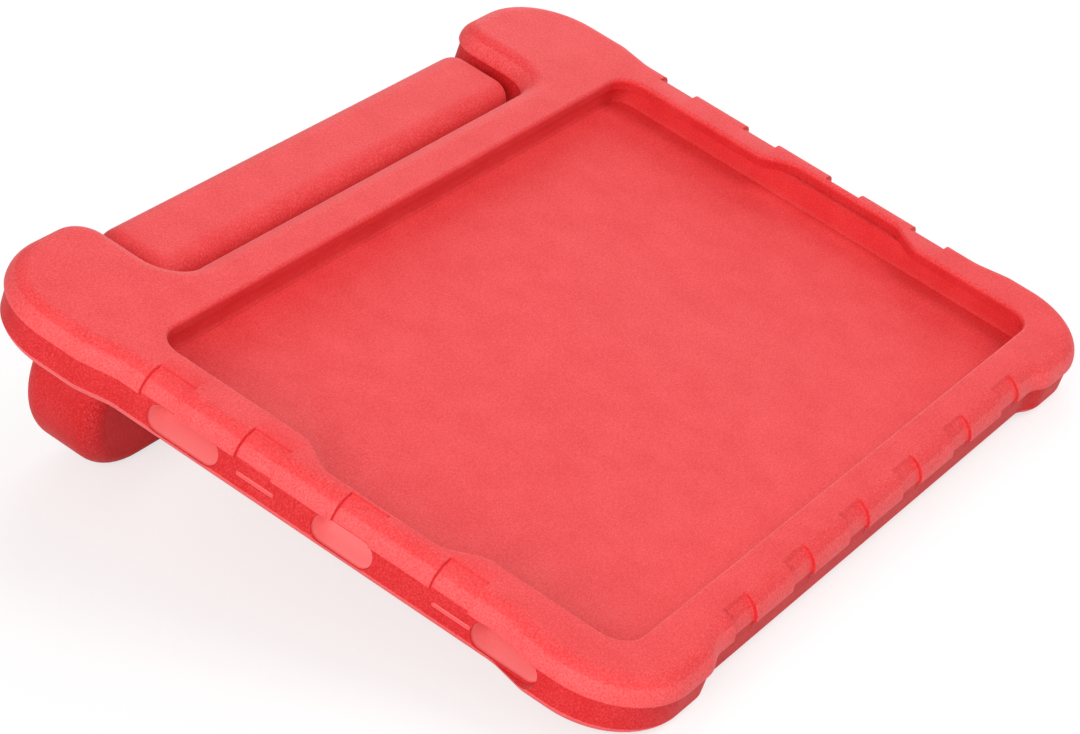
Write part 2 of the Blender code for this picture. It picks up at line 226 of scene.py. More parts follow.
@dataclass(frozen=True)
class PinFinish:
    """Plain moulded plastic, rubbed a little along the way it turns."""

    name: str = "dark_red_plastic"
    body: Colour = (0.30, 0.016, 0.018)
    rubbed: Colour = (0.42, 0.040, 0.040)

    def make(self) -> bpy.types.Material:
        """Builds the material."""
        made = bpy.data.materials.new(self.name)
        made.use_nodes = True
        g = Graph(made.node_tree)
        streaks = g.noise(0.0018, 3.0, 0.6)
        colour = g.blend(g.limit(streaks, 0.4, 0.7), (*self.body, 1.0), (*self.rubbed, 1.0))
        bump = g.node("ShaderNodeBump", {}, {"Strength": 0.25, "Distance": 0.00005, "Height": streaks})
        shader = g.node("ShaderNodeBsdfPrincipled", {}, {
            "Base Color": colour, "Roughness": 0.34 + 0.2 * streaks, "Normal": bump})
        g.node("ShaderNodeOutputMaterial", {}, {"Surface": shader})
        return made


# Outlines and surfaces

@dataclass(frozen=True)
class Outline:
    """Closed outline of arcs and straight runs in turn, counter-clockwise.

    Each piece has the point and heading it starts with, its bend (one over its radius,
    0 on a straight run) and its length.
    """

    starts: np.ndarray
    headings: np.ndarray
    bends: np.ndarray
    lengths: np.ndarray

    @classmethod
    def through(cls, corners: list[Corner]) -> "Outline":
        """Rounds each corner of a polygon.

        An arc of radius r at a corner that turns by a takes r * tan(a / 2) off both edges.
        Arcs that would meet on a short edge are both made smaller.

        Args:
            corners: Each corner as (x, y, radius), counter-clockwise.

        Returns:
            The outline, with one arc and one straight run for each corner.
        """
        table = np.array(corners)
        places, radii = table[:, :2], table[:, 2]
        edges = np.roll(places, -1, axis=0) - places
        spans = np.hypot(edges[:, 0], edges[:, 1])
        angles = np.arctan2(edges[:, 1], edges[:, 0])
        before = np.roll(angles, 1)
        turns = (angles - before + math.pi) % (2 * math.pi) - math.pi
        tangents = np.abs(np.tan(turns / 2))
        trims = radii * tangents
        taken = trims + np.roll(trims, -1)
        shares = np.minimum(1.0, 0.98 * spans / np.maximum(taken, 1e-12))
        trims = trims * np.minimum(shares, np.roll(shares, 1))
        radii = trims / np.maximum(tangents, 1e-12)
        way_in = np.stack([np.cos(before), np.sin(before)], axis=1)
        way_out = np.stack([np.cos(angles), np.sin(angles)], axis=1)
        arc_starts = places - way_in * trims[:, None]
        run_starts = places + way_out * trims[:, None]
        bends = np.where(radii > 1e-9, np.sign(turns) / np.maximum(radii, 1e-9), 0.0)
        return cls(
            starts=np.stack([arc_starts, run_starts], axis=1).reshape(-1, 2),
            headings=np.stack([before, angles], axis=1).ravel(),
            bends=np.stack([bends, np.zeros_like(bends)], axis=1).ravel(),
            lengths=np.stack([np.abs(turns) * radii, spans - trims - np.roll(trims, -1)], axis=1).ravel())

    def stations(self, spacing: float) -> np.ndarray:
        """Even steps along each piece.

        Args:
            spacing: Longest step in metres.

        Returns:
            Rows of (piece, share of its length); every piece has at least two steps.
        """
        counts = np.maximum(2, np.ceil(self.lengths / spacing).astype(int))
        pieces = np.repeat(np.arange(len(counts)), counts)
        steps = np.arange(counts.sum()) - np.repeat(np.cumsum(counts) - counts, counts)
        return np.stack([pieces, steps / counts[pieces]], axis=1)

    def with_marks(self, stations: np.ndarray, axis: int, places: np.ndarray) -> np.ndarray:
        """Adds stations where straight runs pass given coordinates.

        Args:
            stations: Rows of (piece, share) to add to.
            axis: 0 where the coordinates are X, 1 where they are Y.
            places: The coordinates.

        Returns:
            All the rows in order along the outline.
        """
        ways = np.stack([np.cos(self.headings), np.sin(self.headings)], axis=1)[:, axis]
        runs = np.flatnonzero((np.abs(ways) > 0.99) & (self.bends == 0.0))
        reach = (places[None, :] - self.starts[runs, axis][:, None]) / (ways * self.lengths)[runs][:, None]
        row, column = np.nonzero((reach > 0.0) & (reach < 1.0))
        added = np.stack([runs[row], reach[row, column]], axis=1)
        rows = np.concatenate([stations, added])
        return rows[np.lexsort((rows[:, 1], rows[:, 0]))]

    def at(self, stations: np.ndarray) -> tuple[np.ndarray, np.ndarray]:
        """Points and outward normals at stations.

        A run of length s and bend k ends s * sin(k s / 2) / (k s / 2) from its start, in the
        direction halfway through its turn.

        Args:
            stations: Rows of (piece, share).

        Returns:
            Two arrays of (x, y) rows.
        """
        piece = stations[:, 0].astype(int)
        run = stations[:, 1] * self.lengths[piece]
        turned = self.bends[piece] * run
        chord = run * np.sinc(turned / (2 * math.pi))
        middle = self.headings[piece] + turned / 2
        points = self.starts[piece] + chord[:, None] * np.stack([np.cos(middle), np.sin(middle)], axis=1)
        heading = self.headings[piece] + turned
        return points, np.stack([np.sin(heading), -np.cos(heading)], axis=1)


def smooth_step(values: np.ndarray, low: float, high: float) -> np.ndarray:
    """Rises from 0 at low to 1 at high as 3 t^2 - 2 t^3."""
    t = np.clip((values - low) / (high - low), 0.0, 1.0)
    return t * t * (3.0 - 2.0 * t)


def quarter(centre: tuple[float, float], radius: float, first: float, last: float, steps: int) -> np.ndarray:
    """Arc of a profile.

    Args:
        centre: Its centre as (offset, height).
        radius: Its radius.
        first: Angle at its start in degrees, from the outward direction towards the front.
        last: Angle at its end in degrees.
        steps: Number of points.

    Returns:
        Rows of (offset, height, normal outward, normal up): centre + radius * (cos a, sin a).
    """
    a = np.radians(np.linspace(first, last, steps))
    outward, up = np.cos(a), np.sin(a)
    return np.stack([centre[0] + radius * outward, centre[1] + radius * up, outward, up], axis=1)


def straight(start: tuple[float, float], end: tuple[float, float], normal: tuple[float, float],
             steps: int) -> np.ndarray:
    """Even points of a profile from start to end, all with one normal."""
    t = np.linspace(0.0, 1.0, steps)[:, None]
    points = np.array(start) * (1 - t) + np.array(end) * t
    return np.concatenate([points, np.repeat([normal], steps, axis=0)], axis=1)


@dataclass
class Skin:
    """A surface put together from grids of points and the flat sheets between their rims."""

    points: list[np.ndarray] = field(default_factory=list)
    faces: list[np.ndarray] = field(default_factory=list)
    tones: list[np.ndarray] = field(default_factory=list)
    count: int = 0

    def add_ring(self, grid: np.ndarray, edge_highlight: object = 0.0, wall: object = 0.0, cut: object = 0.0) -> None:
        """Adds a band that closes on itself.

        Args:
            grid: Points by (station, row, xyz); quads join neighbours in both directions.
            edge_highlight: How far each row gets the painted highlight of a round edge, from 0 to 1.
            wall: How far each row is darkened by painted shade, as on a wall.
            cut: How far each row is lightened by painted light, as on a cut face.
        """
        around, rows = grid.shape[:2]
        index = self.count + np.arange(around * rows).reshape(around, rows)
        after = np.roll(index, -1, axis=0)
        quads = np.stack([index[:, :-1], index[:, 1:], after[:, 1:], after[:, :-1]], axis=-1)
        self.points.append(grid.reshape(-1, 3))
        self.faces.append(quads.reshape(-1, 4))
        tones = [np.broadcast_to(tone, (around, rows)).ravel() for tone in (edge_highlight, wall, cut)]
        self.tones.append(np.stack(tones, axis=1))
        self.count += around * rows

    def mesh(self, name: str, sheets: list[tuple[int, float]]) -> bpy.types.Mesh:
        """Joins the bands and closes them with flat sheets.

        Args:
            name: Name of the mesh.
            sheets: Each sheet's plane, as the axis that it is square to and its place on it.

        Returns:
            One closed mesh with its faces pointing outwards and a "tone" attribute, which holds
            edge_highlight, wall and cut (painted highlight, painted shade and painted light) as x, y and z.
            It is zero on the sheets.
        """
        mesh = bpy.data.meshes.new(name)
        faces = np.concatenate(self.faces)
        mesh.from_pydata(np.concatenate(self.points), [], faces.tolist())
        tone = mesh.attributes.new("tone", "FLOAT_VECTOR", "CORNER")
        tone.data.foreach_set("vector", np.concatenate(self.tones)[faces.ravel()].ravel())
        bm = bmesh.new()
        bm.from_mesh(mesh)
        bmesh.ops.remove_doubles(bm, verts=bm.verts, dist=SAME_PLACE)
        for axis, level in sheets:
            self._close(bm, axis, level)
        bmesh.ops.recalc_face_normals(bm, faces=bm.faces)
        loose = sum(not edge.is_manifold for edge in bm.edges)
        log.info("  %s: %d faces, %d open edges", name, len(bm.faces), loose)
        bm.to_mesh(mesh)
        bm.free()
        return mesh

    @staticmethod
    def _close(bm: bmesh.types.BMesh, axis: int, level: float) -> None:
        """Fills between the open rims that lie in one plane."""
        rims = [edge for edge in bm.edges if edge.is_boundary
                and all(abs(vert.co[axis] - level) < SAME_PLACE for vert in edge.verts)]
        normal = Vector([float(k == axis) for k in range(3)])
        bmesh.ops.triangle_fill(bm, use_beauty=True, use_dissolve=False, edges=rims, normal=normal)


def tint_sheet(mesh: bpy.types.Mesh, axis: int, level: float, tone: tuple[float, float, float]) -> None:
    """Gives the faces of one flat sheet a tone.

    Args:
        mesh: A mesh with the "tone" attribute.
        axis: The axis that the sheet is square to.
        level: The sheet's place on it.
        tone: Its edge_highlight, wall and cut: painted highlight, painted shade and painted light.
    """
    centres, normals = np.empty(len(mesh.polygons) * 3), np.empty(len(mesh.polygons) * 3)
    mesh.polygons.foreach_get("center", centres)
    mesh.polygons.foreach_get("normal", normals)
    sizes = np.empty(len(mesh.polygons), dtype=np.int32)
    mesh.polygons.foreach_get("loop_total", sizes)
    inside = np.abs(centres.reshape(-1, 3)[:, axis] - level) < SAME_PLACE
    inside &= np.abs(normals.reshape(-1, 3)[:, axis]) > 0.99
    layer = mesh.attributes["tone"].data
    tones = np.empty(len(layer) * 3)
    layer.foreach_get("vector", tones)
    tones = np.where(np.repeat(inside, sizes)[:, None], tone, tones.reshape(-1, 3))
    layer.foreach_set("vector", tones.ravel())


@dataclass(frozen=True)
class RestPose:
    """Place and slope of the case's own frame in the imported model."""

    seat: Vector
    normal: Vector
    seat_depth: float

    @classmethod
    def from_record(cls, record: dict, seat_depth: float) -> "RestPose":
        """Reads it from the tablet seat's mount."""
        mount = next(m for m in record["mounts"] if m["name"] == "tablet_seat")
        return cls(Vector(mount["pos_m"]), Vector(mount["axis"]).normalized(), seat_depth)

    def matrix(self) -> Matrix:
        """The case frame's axes and origin: the glass lies seat_depth above the seat."""
        across = Vector((1.0, 0.0, 0.0))
        up = self.normal
        along = up.cross(across)
        turn = Matrix((across, along, up)).transposed().to_4x4()
        return Matrix.Translation(self.seat + up * self.seat_depth) @ turn


def place(mesh: bpy.types.Mesh, matrix: Matrix, name: str) -> bpy.types.Object:
    """Makes an object at the origin from a mesh in the case's frame.

    What would lie below the ground is pressed flat on it, as soft foam is.

    Args:
        mesh: The mesh, which is moved.
        matrix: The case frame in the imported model.
        name: Name of the object.

    Returns:
        The object, linked to the scene.
    """
    mesh.transform(matrix)
    flat = np.empty(len(mesh.vertices) * 3, dtype=np.float32)
    mesh.vertices.foreach_get("co", flat)
    flat[2::3] = np.maximum(flat[2::3], 0.0)
    mesh.vertices.foreach_set("co", flat)
    mesh.update()
    obj = bpy.data.objects.new(name, mesh)
    bpy.context.scene.collection.objects.link(obj)
    return obj


def carve(target: bpy.types.Object, cutters: list[bpy.types.Object]) -> None:
    """Takes the cutters out of the target for good and removes them."""
    for cutter in cutters:
        modifier = target.modifiers.new(cutter.name, "BOOLEAN")
        modifier.operation = "DIFFERENCE"
        modifier.solver = "EXACT"
        modifier.object = cutter
    bpy.context.view_layer.update()
    made = bpy.data.meshes.new_from_object(target.evaluated_get(bpy.context.evaluated_depsgraph_get()))
    target.modifiers.clear()
    target.data = made
    for cutter in cutters:
        bpy.data.objects.remove(cutter, do_unlink=True)


def shade(obj: bpy.types.Object, material: bpy.types.Material, crease: float) -> None:
    """Smooth shading with sharp edges past the crease angle in degrees, and one material."""
    obj.data.shade_smooth()
    obj.data.set_sharp_from_angle(angle=math.radians(crease))
    obj.data.materials.clear()
    obj.data.materials.append(material)


# The case's pieces

@dataclass
class Recesses:
    """Grip recesses that run over the front edge, sunk along the surface's own normal."""

    length: float = 0.0114
    soft: float = 0.00022
    side_places: np.ndarray = field(default_factory=lambda: 0.0589 - 0.0302 * np.arange(4))
    lower_places: np.ndarray = field(default_factory=lambda: 0.0313 * (np.arange(6) - 2.5))
    side_reach: float = 0.0071
    lower_reach: float = 0.0058
    face_depth: float = 0.0007
    edge_depth: float = 0.0014
    wall_depth: float = 0.00115
    wall_inset: float = 0.0008
    bottom: float = -0.0052

    def marks(self, places: np.ndarray) -> np.ndarray:
        """Coordinates of closely spaced stations at both ends of each recess."""
        near = self.soft * np.array([-1.6, -1.0, -0.5, 0.0, 0.5, 1.0, 1.6])
        ends = (places[:, None] + np.array([-0.5, 0.5]) * self.length).ravel()
        return (ends[:, None] + near).ravel()

    def share(self, along: np.ndarray, places: np.ndarray) -> np.ndarray:
        """1 inside a recess and 0 outside, with soft ends, by the place along the wall."""
        inside = self.length / 2 - np.abs(along[:, None] - places).min(axis=1)
        return smooth_step(inside, -self.soft, self.soft)

    def sink(self, points: np.ndarray, normals: np.ndarray, profile: np.ndarray, front: float,
             radius: float) -> tuple[np.ndarray, np.ndarray]:
        """How far each point of the outer wall sinks.

        On the face and the rounded edge a point sinks along its normal: by face_depth at the
        inner line, and by most halfway round the edge. Below the edge it moves straight in,
        to a floor that rises from wall_depth to the wall itself at bottom.

        Args:
            points: Stations of the outline.
            normals: Their outward normals.
            profile: Rows of (offset, height, normal out, normal up).
            front: Height of the front face.
            radius: Radius of the rounded edge.

        Returns:
            Movement as (outward, up) by (station, profile row), and by station and row how far
            the point is on the step round a recess, where the colour gets painted shade.
        """
        offset, height = profile[:, 0], profile[:, 1]
        angle = np.arctan2(profile[:, 3], profile[:, 2])
        on_arc = np.interp(angle, np.radians([0.0, 45.0, 90.0]),
                           [self.wall_depth, self.edge_depth, self.face_depth + 0.0003])
        floor = np.interp(height, [self.bottom, front - radius], [self.wall_inset, self.wall_depth])
        inward = np.stack([-np.maximum(offset + floor, 0.0), np.zeros_like(offset)], axis=1)
        sunk = np.zeros((len(points), len(profile), 2))
        steps = np.zeros((len(points), len(profile)))
        for reach, axis, sign, places in ((self.side_reach, 0, 1, self.side_places),
                                          (self.side_reach, 0, -1, self.side_places),
                                          (self.lower_reach, 1, -1, self.lower_places)):
            on_face = np.interp(offset, [-reach, -radius], [self.face_depth, self.face_depth + 0.0003])
            flush = height >= front - 1e-7
            past_line = smooth_step(offset, -reach - self.soft, -reach + self.soft)
            within = np.where(flush, past_line, height > self.bottom)
            depth = np.where(flush, on_face * within, on_arc)
            along_normal = -depth[:, None] * profile[:, 2:]
            move = np.where((height > front - radius)[:, None], along_normal, inward)
            facing = normals[:, axis] * sign > 0.999
            share = self.share(points[:, 1 - axis], places) * facing
            sunk += share[:, None, None] * move[None, :, :]
            inside = share[:, None] * within[None, :]
            # the step round each recess, which gets painted shade
            steps += 4.0 * inside * (1.0 - inside)
        return sunk, steps


@dataclass
class CaseBody:
    """The moulded body: walls, ears, bumpers, window and tablet bay."""

    bay: tuple[float, float] = (0.1229, 0.0750)
    bay_radius: float = 0.0060
    bay_top: float = 0.0003
    floor: float = -0.0075
    front: float = 0.0040
    back: float = -0.0141
    window: tuple[float, float] = (0.1182, 0.0730)
    window_radius: float = 0.0080
    relief_depth: float = 0.0068
    relief_upper: float = 0.0235
    relief_lower: float = -0.0315
    relief_ramp: float = 0.0095
    side: float = 0.1335
    lower: float = -0.0869
    upper: float = 0.0875
    ear_inner: float = 0.0905
    ear_side: float = 0.1361
    ear_top: float = 0.1200
    bumper_side: float = 0.1362
    bumper_low: float = -0.0896
    edge_radius: float = 0.0060
    back_radius: float = 0.0075
    rim_overhang: float = 0.0008
    rim_inset: float = 0.0074
    lip_radius: float = 0.0009
    cutouts: tuple[tuple[float, float], ...] = ((0.0500, 0.0224), (0.0, 0.0185), (-0.0500, 0.0208))
    cutout_heights: tuple[float, float] = (-0.0023, -0.0101)
    slits: tuple[float, ...] = (0.0271, -0.0334)
    slit_size: tuple[float, float] = (0.0118, 0.0014)
    slit_height: float = -0.0064
    slit_depth: float = 0.0024
    spacing: float = 0.0011
    recesses: Recesses = field(default_factory=Recesses)

    def outline(self) -> Outline:
        """Outer outline with ears and bumpers, counter-clockwise."""
        right = [(self.ear_inner, self.upper, 0.0100), (self.ear_inner, self.ear_top, 0.0100),
                 (self.ear_side, self.ear_top, 0.0255), (self.ear_side, 0.0820, 0.0120),
                 (self.side, 0.0720, 0.0120), (self.side, -0.0470, 0.0120),
                 (self.bumper_side, -0.0570, 0.0120), (self.bumper_side, self.bumper_low, 0.0245),
                 (0.0990, self.bumper_low, 0.0120), (0.0930, self.lower, 0.0120)]
        left = [(-x, y, radius) for x, y, radius in reversed(right)]
        return Outline.through((right + left)[::-1])

    def outer_profile(self) -> tuple[np.ndarray, np.ndarray]:
        """Section of the outer wall, from the front face round the edges to the back.

        The front edge ends in a rim that hangs over the wall by rim_overhang, with a tight
        round lip and an equal hollow below it.

        Returns:
            Rows of (offset, height, normal out, normal up), and rows of (edge_highlight, wall), the painted
            highlight and painted shade.
        """
        r, back, inner = self.edge_radius, self.back_radius, -self.rim_inset
        tight = self.rim_overhang / 2
        rim = self.front - r
        hollow = quarter((-tight, rim - 2 * tight), tight, 90.0, 180.0, 5)
        hollow[:, 2:] *= -1
        meeting = math.acos(1 - self.rim_overhang / back)
        wall_end = self.back + back - back * math.sin(meeting)
        under_rim = rim - 3 * tight
        stretches = (
            # each stretch carries its painted highlight on round edges and painted shade on the wall, the
            # hollow and the back
            (straight((inner, self.front), (-r - 0.0001, self.front), (0.0, 1.0), 8), 0.0, 0.0),
            (quarter((-r, self.front - r), r, 90.0, 50.0, 6), 0.3, 0.0),
            (quarter((-r, self.front - r), r, 42.0, 0.0, 7), 0.6, 0.0),
            (quarter((-tight, rim), tight, -20.0, -90.0, 5), 0.3, 0.6),
            (hollow[1:], 0.0, 1.0),
            (straight((-2 * tight, under_rim), (-2 * tight, wall_end + 0.0004), (1.0, 0.0), 8),
             0.0, 1.0),
            (quarter((-back, self.back + back), back, -math.degrees(meeting), -46.0, 5), 0.9, 0.3),
            (quarter((-back, self.back + back), back, -50.0, -90.0, 7), 0.2, 0.6),
            (straight((-back - 0.0005, self.back), (-0.0090, self.back), (0.0, -1.0), 2), 0.0, 0.6))
        tones = [np.repeat([[edge_highlight, wall]], len(rows), axis=0) for rows, edge_highlight, wall in stretches]
        return np.concatenate([rows for rows, _, _ in stretches]), np.concatenate(tones)

    def add_outer(self, skin: Skin) -> None:
        """Carries the outer section along the outline, sinking the recesses."""
        outline = self.outline()
        stations = outline.stations(self.spacing)
        stations = outline.with_marks(stations, 1, self.recesses.marks(self.recesses.side_places))
        stations = outline.with_marks(stations, 0, self.recesses.marks(self.recesses.lower_places))
        points, normals = outline.at(stations)
        profile, tones = self.outer_profile()
        sunk, steps = self.recesses.sink(points, normals, profile, self.front, self.edge_radius)
        moved = profile[None, :, :2] + sunk
        flat = points[:, None, :] + normals[:, None, :] * moved[:, :, :1]
        # painted shade on the recess steps, with their painted highlight taken off
        skin.add_ring(np.concatenate([flat, moved[:, :, 1:]], axis=2), tones[:, 0] * (1.0 - steps),
                      np.maximum(tones[:, 1], steps))

    def window_outline(self) -> Outline:
        """Window with a shallow relief in each short side, counter-clockwise."""
        x, y = self.window
        deep = x + self.relief_depth
        right = [(x, y, self.window_radius), (x, self.relief_upper, 0.0060),
                 (deep, self.relief_upper - self.relief_ramp, 0.0060),
                 (deep, self.relief_lower + self.relief_ramp, 0.0060),
                 (x, self.relief_lower, 0.0060), (x, -y, self.window_radius)]
        left = [(-px, py, radius) for px, py, radius in reversed(right)]
        return Outline.through((right + left)[::-1])

    def bay_outline(self) -> Outline:
        """Bay wall, with a corner that doesn't turn beside each corner of the window."""
        x, y = self.bay
        heights = (self.relief_upper, self.relief_upper - self.relief_ramp,
                   self.relief_lower + self.relief_ramp, self.relief_lower)
        right = [(x, y, self.bay_radius), *((x, h, 0.0) for h in heights), (x, -y, self.bay_radius)]
        left = [(-px, py, radius) for px, py, radius in reversed(right)]
        return Outline.through((right + left)[::-1])

    def add_inner(self, skin: Skin) -> None:
        """Window edge, underside of the lip and bay wall: each row is a whole outline."""
        window, bay = self.window_outline(), self.bay_outline()
        stations = window.stations(self.spacing)
        r = self.lip_radius
        edge = quarter((r, self.front - r), r, 90.0, 180.0, 7)
        down = straight((0.0, self.front - 2 * r), (0.0, self.bay_top), (-1.0, 0.0), 4)
        under = straight((0.0, self.bay_top), (0.0, self.floor + 0.0010), (-1.0, 0.0), 6)
        foot = quarter((-0.0010, self.floor + 0.0010), 0.0010, 0.0, -90.0, 5)
        rows = []
        for outline, profile in ((window, np.concatenate([edge, down])),
                                 (bay, np.concatenate([under, foot]))):
            points, normals = outline.at(stations)
            flat = points[:, None, :] + normals[:, None, :] * profile[None, :, :1]
            heights = np.broadcast_to(profile[None, :, 1:2], (*flat.shape[:2], 1))
            rows.append(np.concatenate([flat, heights], axis=2))
        counts = [len(edge), len(down), len(under) + len(foot)]
        # painted highlight on the lip's round edge and painted shade down the window edge and the bay wall
        skin.add_ring(np.concatenate(rows, axis=1), np.repeat([0.4, 0.0, 0.0], counts),
                      np.repeat([0.2, 0.8, 0.5], counts))

    def wall_cutter(self, name: str, centre: tuple[float, float], size: tuple[float, float], radius: float,
                    flare: float, end: float) -> bpy.types.Mesh:
        """Prism along X into the left wall, wider at its mouth so that its rim is round.

        The section is a rounded rectangle; at the depth where the rim's quarter circle has
        turned by a, the section is flare * (1 - sin a) larger all round.

        Args:
            name: Name of the mesh.
            centre: Its (y, z).
            size: Its width along Y and height along Z.
            radius: Radius of its corners.
            flare: Radius of its rim.
            end: Its depth below the side of the case.

        Returns:
            The closed mesh in the case's frame.
        """
        w, h = size[0] / 2, size[1] / 2
        outline = Outline.through([(w, h, radius), (-w, h, radius), (-w, -h, radius), (w, -h, radius)])
        points, normals = outline.at(outline.stations(0.0006))
        a = np.radians(np.linspace(0.0, 90.0, 6))
        mouth = self.rim_overhang
        along = np.linspace(mouth + flare + 0.0001, end, 12)
        grow = np.concatenate([[flare], flare * (1 - np.sin(a)), np.zeros_like(along)])
        depth = np.concatenate([[-0.003], mouth + flare * (1 - np.cos(a)), along])
        flat = points[:, None, :] + normals[:, None, :] * grow[None, :, None]
        x = np.broadcast_to(-self.side + depth[None, :, None], (*flat.shape[:2], 1))
        grid = np.concatenate([x, flat[..., :1] + centre[0], flat[..., 1:] + centre[1]], axis=2)
        skin = Skin()
        # painted shade on the round mouth, painted light on the cut faces past it
        cut = smooth_step(depth, mouth + flare, mouth + flare + 0.0003)
        skin.add_ring(grid, wall=1.0 - cut, cut=cut)
        mesh = skin.mesh(name, [(0, -self.side + depth[0]), (0, -self.side + depth[-1])])
        # painted light on the far end's sheet
        tint_sheet(mesh, 0, -self.side + depth[-1], (0.0, 0.0, 1.0))
        return mesh

    def openings(self) -> list[bpy.types.Mesh]:
        """Cutters of the port and speaker cut-outs and of the slits."""
        top, bottom = self.cutout_heights
        through = self.side - self.bay[0] + 0.0020
        cutters = [
            self.wall_cutter(f"cutout_{k}", (y, (top + bottom) / 2), (width, top - bottom),
                             0.0036, 0.0004, through)
            for k, (y, width) in enumerate(self.cutouts)]
        cutters += [
            self.wall_cutter(f"slit_{k}", (y, self.slit_height), self.slit_size,
                             0.0005, 0.0002, self.slit_depth)
            for k, y in enumerate(self.slits)]
        return cutters

    def build(self, pose: Matrix, pins: "HingePins", foam: bpy.types.Material) -> bpy.types.Object:
        """Builds, carves, places and dresses the body.

        Args:
            pose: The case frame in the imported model.
            pins: The hinge pins, whose bores are cut.
            foam: The finish.

        Returns:
            The piece, riding on the case.
        """
        skin = Skin()
        self.add_outer(skin)
        self.add_inner(skin)
        sheets = [(2, self.front), (2, self.floor), (2, self.back)]
        body = place(skin.mesh("case_foam", sheets), pose, "case_foam")
        carve(body, [place_cutter(mesh, pose) for mesh in self.openings() + pins.bores()])
        shade(body, foam, CREASE_DEGREES)
        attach(body, "case")
        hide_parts("case_body")
        return body


def place_cutter(mesh: bpy.types.Mesh, pose: Matrix) -> bpy.types.Object:
    """Makes a cutter object from a mesh in the case's frame."""
    mesh.transform(pose)
    obj = bpy.data.objects.new(mesh.name, mesh)
    bpy.context.scene.collection.objects.link(obj)
    return obj


@dataclass
class HingePins:
    """The two pins that the handle turns on; their solids stay, and their bores are cut."""

    y: float = 0.1038
    z: float = -0.0080
    bore_radius: float = 0.0025
    ends: tuple[float, float] = (0.0767, 0.1028)

    def bores(self) -> list[bpy.types.Mesh]:
        """Round cutters along X for both bores, as closed tubes of points."""
        meshes = []
        a = np.linspace(0.0, 2 * math.pi, 48, endpoint=False)
        circle = np.stack([self.y + self.bore_radius * np.cos(a),
                           self.z + self.bore_radius * np.sin(a)], axis=1)
        for side, sign in (("left", -1.0), ("right", 1.0)):
            x = sign * np.linspace(*self.ends, 6)
            grid = np.concatenate([np.broadcast_to(x[None, :, None], (48, 6, 1)),
                                   np.broadcast_to(circle[:, None, :], (48, 6, 2))], axis=2)
            skin = Skin()
            # painted shade over the bore's whole face
            skin.add_ring(grid, wall=1.0)
            meshes.append(skin.mesh(f"bore_{side}", [(0, x[0]), (0, x[-1])]))
        return meshes

    def dress(self, plastic: bpy.types.Material) -> None:
        """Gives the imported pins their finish."""
        for name in ("hinge_pin_left", "hinge_pin_right"):
            pin = frame["nodes"][name]
            pin.data.materials.clear()
            pin.data.materials.append(plastic)


@dataclass
class StandHandle:
    """The loop that is the carry handle, folded back under the case as its stand."""

    hinge: tuple[float, float] = (0.1038, -0.0080)
    neck: float = 0.0880
    top: float = -0.0073
    shoulder: float = 0.0192
    shoulder_drop: float = 0.0040
    grip: float = 0.1035
    reach: float = 0.0628
    bar: float = 0.0165
    grip_radius: float = 0.0310
    gap_start: float = 0.0120
    gap_widths: tuple[float, float] = (0.0680, 0.0780)
    thickness: float = 0.0250
    edge_radius: float = 0.0065
    spacing: float = 0.0011

    def outline(self) -> Outline:
        """Outer outline as (x, reach), counter-clockwise."""
        right = [(self.neck, self.top, 0.0070), (self.neck, self.shoulder, 0.0050),
                 (self.grip, self.shoulder + self.shoulder_drop, 0.0100),
                 (self.grip, self.reach, self.grip_radius)]
        left = [(-x, y, radius) for x, y, radius in reversed(right)]
        return Outline.through(right + left)

    def gap(self) -> Outline:
        """Outline of the finger gap, counter-clockwise."""
        end = self.reach - self.bar
        upper, lower = self.gap_widths
        return Outline.through([(upper, self.gap_start, 0.0080), (lower, end, 0.0140),
                                (-lower, end, 0.0140), (-upper, self.gap_start, 0.0080)])

    def section(self, sign: float) -> np.ndarray:
        """Section of the loop's wall through its thickness, rounded at both faces.

        Args:
            sign: 1 for the outer wall and -1 for the wall of the gap.

        Returns:
            Rows of (offset, height, normal out, normal up).
        """
        r, t = self.edge_radius, self.thickness / 2
        rows = np.concatenate([
            straight((-r - 0.0004, t), (-r - 0.0002, t), (0.0, 1.0), 2),
            quarter((-r, t - r), r, 90.0, 0.0, 13),
            straight((0.0, t - r - 0.001), (0.0, r - t + 0.001), (1.0, 0.0), 6),
            quarter((-r, r - t), r, 0.0, -90.0, 13),
            straight((-r - 0.0002, -t), (-r - 0.0004, -t), (0.0, -1.0), 2)])
        rows[:, 0] *= sign
        return rows

    def build(self, pose: Matrix, pins: HingePins, foam: bpy.types.Material) -> bpy.types.Object:
        """Builds, bores, places and dresses the handle.

        Args:
            pose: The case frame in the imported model.
            pins: The hinge pins, whose bores are cut.
            foam: The finish.

        Returns:
            The piece, riding on the handle.
        """
        skin = Skin()
        for outline, sign in ((self.outline(), 1.0), (self.gap(), -1.0)):
            points, normals = outline.at(outline.stations(self.spacing))
            section = self.section(sign)
            flat = points[:, None, :] + normals[:, None, :] * section[None, :, :1]
            depth = np.broadcast_to(section[None, :, 1:2], (*flat.shape[:2], 1))
            grid = np.concatenate([flat[..., :1], self.hinge[0] + depth, self.hinge[1] - flat[..., 1:]],
                                  axis=2)
            # painted highlight on the round edges, and painted shade that deepens down the loop towards the
            # gap
            edge_highlight = 0.7 * np.abs(section[:, 2] * section[:, 3])
            skin.add_ring(grid, edge_highlight, smooth_step(flat[..., 1], 0.0, self.gap_start))
        faces = [(1, self.hinge[0] + sign * self.thickness / 2) for sign in (1.0, -1.0)]
        mesh = skin.mesh("handle_foam", faces)
        # painted shade on the handle's one flat face
        tint_sheet(mesh, *faces[1], (0.0, 0.75, 0.0))
        handle = place(mesh, pose, "handle_foam")
        carve(handle, [place_cutter(mesh, pose) for mesh in pins.bores()])
        shade(handle, foam, CREASE_DEGREES)
        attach(handle, "handle")
        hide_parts("stand_handle")
        return handle


# The studio

